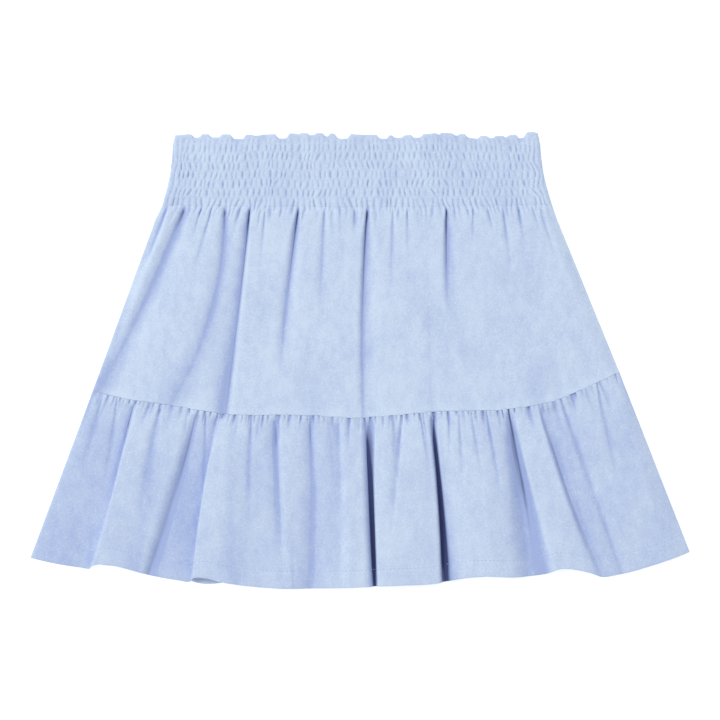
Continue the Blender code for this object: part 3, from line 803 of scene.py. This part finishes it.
def blurred(values, cells):
    """The values, averaged over that many cells across."""
    padded = np.pad(values, [(0, 0), (cells // 2 + 1, cells - cells // 2)], mode="edge")
    total = np.cumsum(padded, axis=1)
    return (total[:, cells:] - total[:, :-cells])[:, :values.shape[1]] / cells


def inside_of(made, thickness):
    """The shell's hidden side: the outside moved in by the cloth's thickness, rounded at its free ends."""
    outside = made.outside
    normals = grid_normals(outside)
    normals[:, :, :2] *= ramp(np.minimum(made.ends, made.sides), 0, 4)[:, :, None]
    points = outside - thickness[:, :, None] * normals
    fall = rounding(made.ends, INSIDE_FALL)
    points[:, :, 2] += fall * np.clip(2 * (outside[:, :, 2] - points[:, :, 2]) / thickness - 1, 0, 1)
    points[:, :, 2] = np.minimum(np.maximum(points[:, :, 2], FRONT_INSIDE), outside[:, :, 2] - THINNEST)
    return points


def quads(index):
    """Faces between neighbouring rows of a grid of vertex numbers."""
    corners = [index[:-1, :-1], index[1:, :-1], index[1:, 1:], index[:-1, 1:]]
    return np.stack([corner.ravel() for corner in corners], axis=1).tolist()


def rim(outer_row, inner_row):
    """Faces that join an edge of the fine grid to the same edge of the coarser one."""
    faces = []
    for k in range(len(inner_row) - 1):
        faces.append([*outer_row[k], outer_row[k + 1][0], inner_row[k + 1], inner_row[k]])
    return faces


def stretches(row, kept):
    """An edge's vertex numbers, cut up at the places that the coarser grid keeps."""
    return [list(row[kept[k]:kept[k + 1]]) for k in range(len(kept) - 1)] + [[row[kept[-1]]]]


def add_mesh(name, points, faces):
    """An object with a smooth mesh, in the scene."""
    data = bpy.data.meshes.new(name)
    data.from_pydata(points, [], faces)
    data.shade_smooth()
    piece = bpy.data.objects.new(name, data)
    bpy.context.scene.collection.objects.link(piece)
    return piece


def turned(faces):
    """The faces, facing the other way."""
    return [face[::-1] for face in faces]


def shell(name, fine, coarse_full, painted_shading, facing_up=True, split=None):
    """A closed cloth shell between a fine grid and a coarser one.

    From row split on, the fine grid drops every second column.
    """
    rows, columns = fine.shape[:2]
    split = rows - 1 if split is None else split
    stride = 1 if split == rows - 1 else 2
    kept_rows = thinned(rows, INSIDE_ROWS)
    kept_columns = thinned((columns - 1) // stride + 1, INSIDE_COLUMNS) * stride
    coarse = coarse_full[np.ix_(kept_rows, kept_columns)]
    outer = np.arange(rows * columns).reshape(rows, columns)
    inner = rows * columns + np.arange(coarse.shape[0] * coarse.shape[1]).reshape(coarse.shape[:2])
    lower = outer[:, ::stride]

    faces = quads(outer[:split + 1])
    if stride == 2:
        top, below = outer[split], lower[split + 1]
        for k in range(len(below) - 1):
            faces.append([top[2 * k], below[k], below[k + 1], top[2 * k + 2], top[2 * k + 1]])
        faces += quads(lower[split + 1:])
    faces += turned(quads(inner))
    last, kept_last = (outer[-1], kept_columns) if stride == 1 else (lower[-1], kept_columns // 2)
    faces += rim(stretches(outer[0], kept_columns), inner[0])
    faces += turned(rim(stretches(last, kept_last), inner[-1]))
    faces += turned(rim(stretches(outer[:, 0], kept_rows), inner[:, 0]))
    faces += rim(stretches(outer[:, -1], kept_rows), inner[:, -1])
    faces = faces if facing_up else turned(faces)

    used = np.unique(np.concatenate([np.array(face) for face in faces]))
    renumbered = np.zeros(rows * columns + inner.size, int)
    renumbered[used] = np.arange(len(used))
    faces = [renumbered[face].tolist() for face in faces]
    points = np.concatenate([fine.reshape(-1, 3), coarse.reshape(-1, 3)]) * MM
    # The fine side carries the painted light and shade as a point attribute, the hidden side none
    tint = np.concatenate([painted_shading.ravel(), np.zeros(inner.size)])
    piece = add_mesh(name, points[used].tolist(), faces)
    piece.data.attributes.new("painted_shading", "FLOAT", "POINT").data.foreach_set("value", tint[used])
    return piece


def painted_hollow_shade(made, scales):
    """How far the cloth lies under its surroundings, near and wide, painted as shade; a little under 0, as
    painted light, where it is proud.
    """
    z = made.outside[:, :, 2]
    found = sum(np.clip((blurred(z, cells) - z) / depth, proud, 1) for cells, depth, proud in scales)
    return found * ramp(made.sides, 0, 9)


def painted_shades(made, height, table):
    """How much shade the rows of a table paint on a piece of that height."""
    down = 1 - made.ends[:, :1] / height
    return sum(fold_depth(fold, made.outside[:, :, 0], down) for fold in table)


def tier_painted_shading(made):
    """The tier's painted shade in its hollows and broad folds, less the painted light on it."""
    side = TIER_SIDE_LIGHT * (1 - ramp(made.sides, *TIER_SIDE_FADE))
    seam = TIER_SEAM_LIGHT * (1 - ramp(made.ends, *TIER_SEAM_FADE))
    found = painted_hollow_shade(made, TIER_HOLLOWS) + painted_shades(made, TIER_HEIGHT, TIER_PAINTED_SHADES)
    return found - (side + seam) - TIER_LIGHT


def slots(z):
    """How deep the cloth lies between walls on both of its sides."""
    padded = np.pad(z, [(0, 0), (SLOT_COLUMNS, SLOT_COLUMNS)], mode="edge")
    count = z.shape[1]
    left = np.max([padded[:, k:k + count] for k in range(SLOT_COLUMNS)], axis=0)
    right = np.max([padded[:, k:k + count] for k in range(SLOT_COLUMNS + 1, 2 * SLOT_COLUMNS + 1)], axis=0)
    return np.maximum(np.minimum(left, right) - z, 0.0)


def ruffle_painted_shading(made):
    """The ruffle's painted shade: on low planes and troughs beside high rolls, and in the slots between them.

    The outer planes get less painted shade, as they lie more open to the light, and the sides get painted
    light.
    """
    z = made.outside[:, :, 2] - FRONT_LOW
    high = np.percentile(z, ROLL_PERCENTILE, axis=1)[:, None]
    low = 1 - np.clip(z / high, 0.0, 1.0)
    beside = LOW_SHADE * ramp(low, 0, 0.55) + LOWEST_SHADE * low ** 4
    beside *= ramp(high, *ROLL_HEIGHTS) * fade(made.sides, 15, 90, 0.55, 1)
    down = 1 - made.ends / RUFFLE_HEIGHT
    slot = np.clip(slots(z) / SLOT_DEPTH, 0, 2) * fade(down, 0.86, 0.96, 1, SLOT_HEM_SHARE)
    shade = painted_shades(made, RUFFLE_HEIGHT, RUFFLE_PAINTED_SHADES)
    light = RUFFLE_LIGHT + RUFFLE_SIDE_LIGHT * (1 - ramp(made.sides, 0, 14))
    return (beside + slot + shade) * fade(made.sides, 0, 6, 0.6, 1) - light


def front_piece(name, made, thickness, painted_shading, split=None):
    """A front cloth shell."""
    inside = inside_of(made, thickness)
    # Painted shade is added where a fold has shut on itself
    return shell(name, made.outside, inside, painted_shading + CLOSED_PAINTED_SHADE * made.shut, split=split)


def zone_rows():
    """How many rows the gathers' fine zone has."""
    return len(EDGE_STEPS) + len(np.arange(EDGE_STEPS[-1], GATHER_ZONE, GATHER_PITCH)) - 2


def plain_thickness(made):
    """One cloth all over."""
    return CLOTH + 0 * made.ends


def hem_thickness(made):
    """One cloth, and more on the hem's turn."""
    return CLOTH + (HEM_CLOTH - CLOTH) * hem_turn(made.ends)


def back_piece(name, x, y, relief, ends):
    """A back cloth shell: it lies on the floor, with its creases sunk up into its underside."""
    sides = from_sides(x)
    fall = rounding(ends, BACK_FALL)
    bottom = relief * ramp(np.minimum(ends, sides), 0, 5) + np.maximum(rounding(sides, SIDE_FALL), fall)
    top = BACK_TOP - fall
    fine = np.stack([x, y, np.minimum(bottom, top - THINNEST)], axis=2)
    coarse = np.stack([x, y, top + 0 * x], axis=2)
    # The sunk creases also carry painted shade, by how far they are sunk
    return shell(name, fine, coarse, np.clip(relief, 0, 1), facing_up=False)


def back_waist():
    """The back waistband and its frill."""
    x, y, across, below = waist_grid(BACK_WAIST_PITCH, BACK_FRILL_DIPS, BACK_FRILL_DROP)
    relief = BACK_SHARE * (SMOCK_TOP - smocking(x + BACK_NOISE_SHIFT, y, across, np.maximum(below, 0.0)))
    relief = np.clip(relief, 0, BACK_WAIST_DEEPEST) * ramp(below, -3, 1)
    return back_piece("waist_back_cloth", x, y, relief, below + FRILL_HEIGHT + 0 * x)


def back_panel(name, where, height, width, gathers, waved=0):
    """A gathered panel of the back, where waved is the share of the back's waves that it has."""
    down = spread(height, BACK_PITCH)[:, None] / height
    across = spread(width, BACK_PITCH)[None, :] / width
    x, y = where(down, across)
    y = y - SCENE_GAP * (1 - down)
    below = down * height
    waves = waved * (BACK_WAVES.height + waver(BACK_WAVES, x, y * 0.15)) * ramp(below, 10, 60)
    relief = BACK_LEVEL - gather_rise(across, below, gathers) * BACK_SHARE + waves
    return back_piece(name, x, y, np.clip(relief, 0, BACK_DEEPEST), height - below + 0 * x)


def nodes_of(material):
    """A fresh node tree with its Principled shader."""
    material.use_nodes = True
    tree = material.node_tree
    return tree, tree.nodes["Principled BSDF"]


def noise(tree, place, size, detail, roughness=0.5):
    """A noise whose bumps are about that size across, in millimetres."""
    node = tree.nodes.new("ShaderNodeTexNoise")
    node.inputs["Scale"].default_value = 1 / (size * MM)
    node.inputs["Detail"].default_value = detail
    node.inputs["Roughness"].default_value = roughness
    tree.links.new(place, node.inputs["Vector"])
    return node.outputs["Fac"]


def math_node(tree, operation, first, second, third=None):
    """One sum over sockets or numbers."""
    node = tree.nodes.new("ShaderNodeMath")
    node.operation = operation
    for socket, value in zip(node.inputs, (first, second, third)):
        if value is None:
            continue
        if isinstance(value, (int, float)):
            socket.default_value = value
        else:
            tree.links.new(value, socket)
    return node.outputs["Value"]


def mixed(tree, share, first, second):
    """A mix of two colours or sockets."""
    node = tree.nodes.new("ShaderNodeMix")
    node.data_type = "RGBA"
    for name, colour in (("A", first), ("B", second)):
        if isinstance(colour, tuple):
            node.inputs[name].default_value = (*colour, 1)
        else:
            tree.links.new(colour, node.inputs[name])
    tree.links.new(share, node.inputs["Factor"])
    return node.outputs["Result"]


def ranged(tree, value, low, high):
    """0 where a socket is below low, 1 where it is above high, and an even rise between."""
    node = tree.nodes.new("ShaderNodeMapRange")
    node.inputs["From Min"].default_value = low
    node.inputs["From Max"].default_value = high
    tree.links.new(value, node.inputs["Value"])
    return node.outputs["Result"]


def towelling():
    """Velour towelling: a mottled matt nap, with painted light where it stands and painted shade in hollows,
    bluer and at its deepest a painted deep shadow.
    """
    material = bpy.data.materials.new(TOWELLING)
    tree, shader = nodes_of(material)
    coordinates = tree.nodes.new("ShaderNodeTexCoord").outputs["Object"]
    stretch = tree.nodes.new("ShaderNodeMapping")
    stretch.inputs["Scale"].default_value = (1.0, 0.55, 1.0)
    tree.links.new(coordinates, stretch.inputs["Vector"])
    broad = noise(tree, stretch.outputs["Vector"], 30, 3)
    patches = noise(tree, stretch.outputs["Vector"], 7, 4, 0.6)
    grain = noise(tree, coordinates, 1.5, 2)
    loops = noise(tree, coordinates, 0.7, 1)
    flecks = ranged(tree, noise(tree, coordinates, 1.9, 1), *FLECKS)
    # Painted light and shade: a mesh attribute shifts the nap's tone, darker in hollows and lighter where the
    # cloth stands, and its deepest values turn to the painted deep shadow colour
    painted_shading = tree.nodes.new("ShaderNodeAttribute")
    painted_shading.attribute_name = "painted_shading"

    tone_with_painted_shade = TONE_LEVEL
    for source, share in (
        (broad, BROAD_TONE), (patches, PATCH_TONE), (grain, GRAIN_TONE), (flecks, FLECK_TONE),
        (painted_shading.outputs["Fac"], PAINTED_SHADE_TONE),
    ):
        tone_with_painted_shade = math_node(tree, "MULTIPLY_ADD", source, share, tone_with_painted_shade)
    nap_with_painted_shade = mixed(tree, tone_with_painted_shade, CLOTH_SHADE, CLOTH_LIGHT)
    deep_shadow_share = ranged(tree, painted_shading.outputs["Fac"], *PAINTED_DEEP_SHADE)
    tree.links.new(mixed(tree, deep_shadow_share, nap_with_painted_shade, PAINTED_DEEP_SHADOW), shader.inputs["Base Color"])

    bump = tree.nodes.new("ShaderNodeBump")
    bump.inputs["Strength"].default_value = 0.5
    bump.inputs["Distance"].default_value = 0.35 * MM
    height = math_node(tree, "MULTIPLY_ADD", loops, 0.5, math_node(tree, "MULTIPLY", grain, 0.8))
    tree.links.new(height, bump.inputs["Height"])
    tree.links.new(bump.outputs["Normal"], shader.inputs["Normal"])
    shader.inputs["Roughness"].default_value = 0.95
    shader.inputs["Specular IOR Level"].default_value = 0.1
    shader.inputs["Sheen Weight"].default_value = 0.25
    shader.inputs["Sheen Roughness"].default_value = 0.5
    shader.inputs["Sheen Tint"].default_value = (0.86, 0.92, 1.0, 1)
    return material


def thread_material():
    """Sewing thread, a little smoother than the cloth."""
    material = bpy.data.materials.new("sewing_thread")
    tree, shader = nodes_of(material)
    coordinates = tree.nodes.new("ShaderNodeTexCoord").outputs["Object"]
    twist = noise(tree, coordinates, 0.8, 1)
    tree.links.new(mixed(tree, twist, CLOTH_SHADE, THREAD_BLUE), shader.inputs["Base Color"])
    shader.inputs["Roughness"].default_value = 0.6
    return material


def stitches(name, path):
    """A row of short threads along a path on the cloth, each sinking in at its ends."""
    steps = np.linalg.norm(np.diff(path, axis=0), axis=1)
    length = np.concatenate([[0.0], np.cumsum(steps)])
    points, faces = [], []
    turns = np.arange(THREAD_SIDES) * 2 * math.pi / THREAD_SIDES
    start = STITCH_START
    while start + STITCH_LENGTH < length[-1] - STITCH_START:
        base = len(points)
        along = start + np.array(STITCH_RINGS) * STITCH_LENGTH
        middle = np.stack([np.interp(along, length, path[:, axis]) for axis in range(3)], axis=1)
        heading = middle[-1] - middle[0]
        heading /= np.linalg.norm(heading)
        side = np.cross(heading, (0.0, 0.0, 1.0))
        side /= np.linalg.norm(side)
        up = np.cross(side, heading)
        for place, ring in zip(middle, STITCH_RINGS):
            arch = math.sin(ring * math.pi)
            radius = THREAD_RADIUS * (0.45 + 0.55 * arch)
            core = place + up * (STITCH_LIFT * arch - STITCH_SINK)
            for turn in turns:
                points.append(core + radius * (math.cos(turn) * side + math.sin(turn) * up))
        last = base + (len(STITCH_RINGS) - 1) * THREAD_SIDES
        for ring_start in range(base, last, THREAD_SIDES):
            for j in range(THREAD_SIDES):
                a, b = ring_start + j, ring_start + (j + 1) % THREAD_SIDES
                faces.append((a, b, b + THREAD_SIDES, a + THREAD_SIDES))
        faces.append([base + j for j in reversed(range(THREAD_SIDES))])
        faces.append([last + j for j in range(THREAD_SIDES)])
        start += STITCH_LENGTH + STITCH_GAP
    return add_mesh(name, (np.array(points) * MM).tolist(), faces)


def row_at(made, distance_from_end):
    """The row of a front piece's points that lies nearest that far from its lower end."""
    return made.outside[int(np.argmin(np.abs(made.ends[:, 0] - distance_from_end)))]


def dress(piece, material, node=None):
    """Give a piece its material and body, and hide the solid that it stands for."""
    piece.data.materials.append(material)
    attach(piece, "root")
    if node:
        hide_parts(node)


def add_floor():
    """A plain pale floor."""
    corners = [(-1, -1), (1, -1), (1, 1), (-1, 1)]
    floor = add_mesh("floor", [(FLOOR_HALF * x, FLOOR_HALF * y, 0) for x, y in corners], [(0, 1, 2, 3)])
    material = bpy.data.materials.new("pale_floor")
    _, shader = nodes_of(material)
    shader.inputs["Base Color"].default_value = (0.95, 0.95, 0.95, 1)
    shader.inputs["Roughness"].default_value = 0.9
    shader.inputs["Emission Color"].default_value = (1, 1, 1, 1)
    shader.inputs["Emission Strength"].default_value = FLOOR_GLOW
    floor.data.materials.append(material)
    floor.location.z = -FLOOR_DROP


def add_light(name, place, size, power):
    """A soft square light that points at the skirt."""
    data = bpy.data.lights.new(name, "AREA")
    data.shape = "SQUARE"
    data.size = size
    data.energy = power
    light = bpy.data.objects.new(name, data)
    light.location = place
    light.rotation_euler = (Vector((0, 0, 0)) - light.location).to_track_quat("-Z", "Y").to_euler()
    bpy.context.scene.collection.objects.link(light)


def light_scene():
    """A pale sky of even light, a soft key from the upper left, and plain colours."""
    scene = bpy.context.scene
    scene.world = bpy.data.worlds.new("studio")
    scene.world.use_nodes = True
    background = scene.world.node_tree.nodes["Background"]
    background.inputs["Color"].default_value = SKY_COLOUR
    background.inputs["Strength"].default_value = SKY_STRENGTH
    add_light("key", KEY_PLACE, KEY_SIZE, KEY_POWER)
    scene.view_settings.view_transform = "Standard"


def add_camera():
    """A camera straight above, which frames the floor as the photograph does."""
    data = bpy.data.cameras.new("camera")
    data.sensor_width = SENSOR_WIDTH
    data.lens = SENSOR_WIDTH * CAMERA_HEIGHT / FRAME_WIDTH
    data.clip_end = 20
    camera = bpy.data.objects.new("camera", data)
    camera.location = (0, 0, CAMERA_HEIGHT)
    bpy.context.scene.collection.objects.link(camera)
    bpy.context.scene.camera = camera


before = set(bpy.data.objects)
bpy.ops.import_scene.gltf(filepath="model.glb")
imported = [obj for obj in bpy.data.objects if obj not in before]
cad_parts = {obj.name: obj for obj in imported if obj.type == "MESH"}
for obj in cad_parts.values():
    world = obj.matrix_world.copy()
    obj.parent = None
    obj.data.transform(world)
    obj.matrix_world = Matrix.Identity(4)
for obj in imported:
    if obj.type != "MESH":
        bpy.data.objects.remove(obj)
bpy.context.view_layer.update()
add_camera()
light_scene()
add_floor()

cloth = towelling()
thread = thread_material()
waist = waist_outside()
tier = tier_outside()
ruffle = ruffle_outside()
waist_front = front_piece("waist_front_cloth", waist, plain_thickness(waist), painted_hollow_shade(waist, WAIST_HOLLOWS))
tier_front = front_piece("tier_front_cloth", tier, plain_thickness(tier), tier_painted_shading(tier), zone_rows())
ruffle_front = front_piece(
    "ruffle_front_cloth", ruffle, hem_thickness(ruffle), ruffle_painted_shading(ruffle), zone_rows()
)
waist_back = back_waist()
tier_back = back_panel("tier_back_cloth", tier_loft, TIER_HEIGHT, BACK_TIER_WIDTH, BACK_WAIST_GATHERS)
ruffle_back = back_panel(
    "ruffle_back_cloth", back_ruffle_loft, RUFFLE_HEIGHT, BACK_RUFFLE_WIDTH, BACK_RUFFLE_GATHERS, waved=1
)
for piece in (waist_front, tier_front, ruffle_front, waist_back, tier_back, ruffle_back):
    dress(piece, cloth, piece.name.removesuffix("_cloth"))

hem_stitches = stitches("front_hem_stitches", row_at(ruffle, HEM_DEPTH))
dress(hem_stitches, thread)
